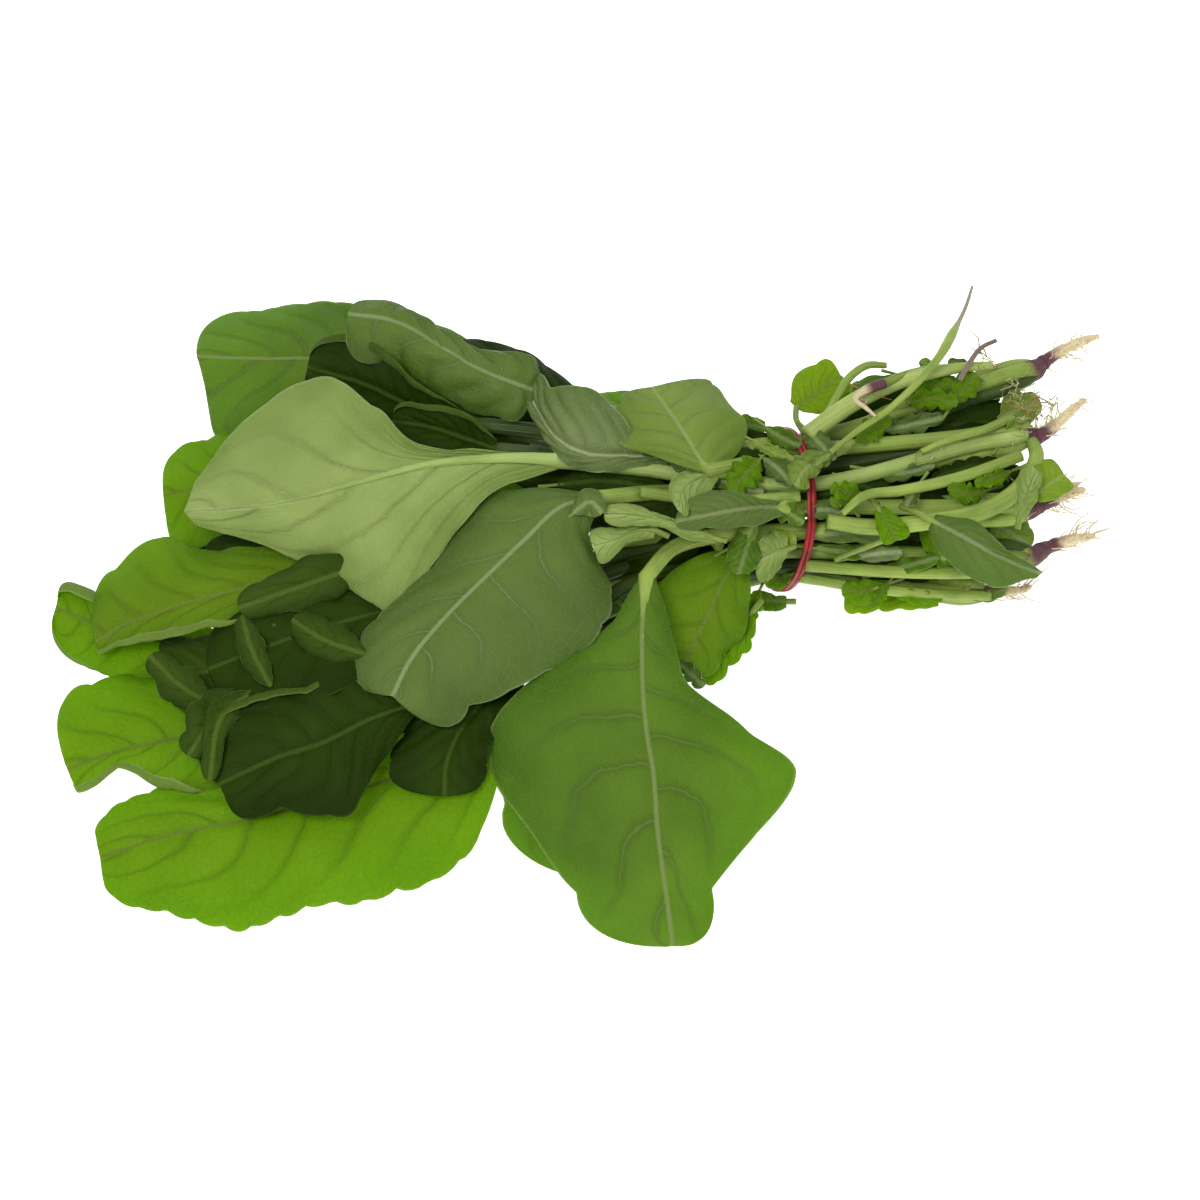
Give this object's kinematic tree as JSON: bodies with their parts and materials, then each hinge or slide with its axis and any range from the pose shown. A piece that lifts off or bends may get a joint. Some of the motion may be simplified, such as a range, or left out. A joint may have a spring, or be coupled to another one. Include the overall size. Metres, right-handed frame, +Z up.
{
  "type": "arugula bunch",
  "caption": "A loose bunch of young arugula with the taproots on, leaves spread to one side, tied round the stalks with a red rubber band and lying on its side",
  "frame": {"origin": "on the table, under the middle of the bunch's bounding box", "axes": "+Z up, +X towards the roots, -X towards the tips of the leaves, -Y towards the side that the picture was taken from"},
  "size_m": [0.2716, 0.1966, 0.0519],
  "materials": {
    "leaf": "satin",
    "leaf_underside": "matte",
    "stalk": "satin",
    "crown": "matte",
    "root": "matte",
    "rubber_band": "satin"
  },
  "bodies": {
    "root": {"crown_far": "crown", "crown_lower": "crown", "crown_lowest": "crown", "crown_middle": "crown", "crown_top": "crown", "crown_under": "crown", "crown_upper": "crown", "leaf_back_left": "leaf", "leaf_back_middle": "leaf", "leaf_back_right": "leaf", "leaf_back_upper": "leaf", "leaf_beside_tie_bottom": "leaf", "leaf_beside_tie_low": "leaf_underside", "leaf_beside_tie_top": "leaf", "leaf_bottom_bright": "leaf", "leaf_broad_olive": "leaf", "leaf_cupped_light": "leaf", "leaf_curled_grey": "leaf", "leaf_dark_behind": "leaf", "leaf_dark_centre": "leaf", "leaf_dark_folded": "leaf", "leaf_dark_low": "leaf", "leaf_dark_middle": "leaf", "leaf_dark_pointed": "leaf", "leaf_far_left": "leaf", "leaf_floor_far": "leaf", "leaf_floor_middle": "leaf", "leaf_floor_near": "leaf", "leaf_front_big": "leaf", "leaf_front_low": "leaf", "leaf_inner_far": "leaf", "leaf_left_bright": "leaf", "leaf_left_folded": "leaf", "leaf_left_lobed": "leaf", "leaf_left_low": "leaf", "leaf_light_right": "leaf", "leaf_narrow_folded": "leaf", "leaf_over_tie": "leaf", "leaf_pale_curl": "leaf_underside", "leaf_pale_edge": "leaf", "leaf_pale_right": "leaf_underside", "leaf_pale_upright": "leaf_underside", "leaf_ribbon": "leaf_underside", "leaf_round_bright": "leaf", "leaf_round_top": "leaf", "leaf_seed_leaf": "leaf", "leaf_silver_twisted": "leaf", "leaf_small_cup": "leaf", "leaf_spear": "leaf", "leaf_toothed_low": "leaf", "leaf_top_left_bright": "leaf", "leaf_top_pale": "leaf_underside", "leaf_yellow_low": "leaf", "rubber_band": "rubber_band", "seedling_root": "root", "seedling_stem": "stalk", "stalk_cut_thick": "stalk"}
  },
  "joints": []
}
